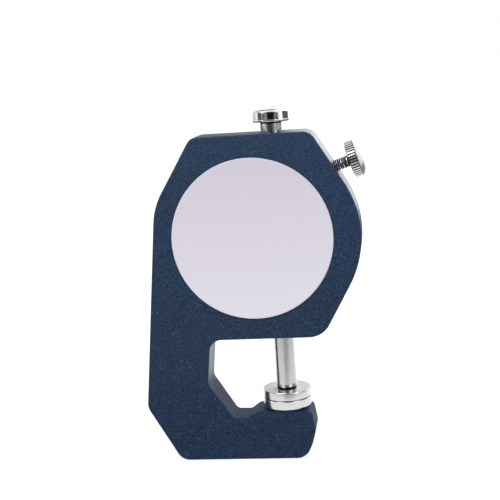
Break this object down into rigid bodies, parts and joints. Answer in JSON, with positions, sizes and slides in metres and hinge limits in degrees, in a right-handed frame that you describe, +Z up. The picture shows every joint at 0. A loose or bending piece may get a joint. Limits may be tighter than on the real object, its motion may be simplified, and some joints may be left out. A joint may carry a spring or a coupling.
{
  "type": "dial thickness gauge",
  "caption": "Pocket dial thickness gauge: cast C-shaped frame with a sprung vertical spindle, flat contact discs, lifting knob, clamp screw and round dial.",
  "frame": {"origin": "on the flat foot under the lower jaw, below the dial axis and halfway through the cast body's thickness", "axes": "+Z up along the spindle's travel, -Y the way the dial faces, +Y the labelled back, +X towards the frame's spine"},
  "size_m": [0.0579, 0.0197, 0.0877],
  "materials": {
    "cast_body": "dark blue speckled enamel, satin",
    "label": "pale printed label, semi-gloss",
    "lapped_steel": "lapped hardened steel",
    "ground_steel": "ground steel",
    "bright_chrome": "polished chrome plating",
    "spring_steel": "spring steel wire",
    "brass": "turned brass",
    "plate_brass": "stamped brass sheet",
    "dial_white": "matt white dial paint",
    "pointer_black": "matt black",
    "rehaut_black": "moulded black ring",
    "crystal": "clear crystal"
  },
  "bodies": {
    "frame": {"frame_casting": "cast_body", "back_label": "label", "anvil_disc": "lapped_steel", "spindle_bush_upper": "brass", "spindle_bush_lower": "brass", "spring_post": "ground_steel", "return_spring": "spring_steel", "base_plate": "plate_brass", "bridge_plate": "plate_brass", "pillars": "brass", "plate_screws": "ground_steel", "bridge_screws": "ground_steel", "hairspring": "spring_steel", "hairspring_stud": "brass", "bezel_wire": "spring_steel"},
    "spindle": {"spindle": "ground_steel", "lifting_knob": "bright_chrome", "contact_disc": "lapped_steel", "rack_block": "ground_steel", "rack": "ground_steel", "rack_screws": "ground_steel", "spring_pin": "ground_steel"},
    "centre_arbor": {"centre_arbor": "ground_steel", "pointer": "pointer_black"},
    "takeup": {"takeup_arbor": "ground_steel", "takeup_gear": "plate_brass", "collet": "brass"},
    "bezel": {"bezel": "bright_chrome", "crystal": "crystal", "dial_face": "dial_white", "rehaut_ring": "rehaut_black", "dial_ring": "spring_steel"},
    "lock_plug": {"lock_plug": "brass"},
    "lock_screw": {"lock_screw": "bright_chrome"}
  },
  "joints": [
    {"name": "spindle_slide", "type": "slide", "parent": "frame", "child": "spindle", "axis": [0, 0, 1], "range_m": [0, 0.01], "stiffness_N_per_m": 50, "springref_m": -0.02, "deforming": ["return_spring"]},
    {"name": "centre_arbor_turn", "type": "hinge", "parent": "frame", "child": "centre_arbor", "pos_m": [0, -0.006, 0.0566], "axis": [0, 1, 0], "range_deg": [-2, 362]},
    {"name": "takeup_turn", "type": "hinge", "parent": "frame", "child": "takeup", "pos_m": [0.00535, -0.006, 0.05125], "axis": [0, 1, 0], "range_deg": [-98, 2]},
    {"name": "bezel_turn", "type": "hinge", "parent": "frame", "child": "bezel", "pos_m": [0, -0.009, 0.0566], "axis": [0, -1, 0], "continuous": true},
    {"name": "lock_plug_slide", "type": "slide", "parent": "frame", "child": "lock_plug", "axis": [-0.9537, 0, 0.3007], "range_m": [0, 0.00075]},
    {"name": "lock_screw_turn", "type": "hinge", "parent": "lock_plug", "child": "lock_screw", "pos_m": [-0.02446, 0, 0.07415], "axis": [-0.9537, 0, 0.3007], "range_deg": [-5, 545]}
  ],
  "couplings": [
    {"joint": "centre_arbor_turn", "follows": "spindle_slide", "rad_per_m": 628.32},
    {"joint": "takeup_turn", "follows": "spindle_slide", "rad_per_m": -167.55},
    {"joint": "lock_screw_turn", "follows": "lock_plug_slide", "rad_per_m": 12566}
  ]
}
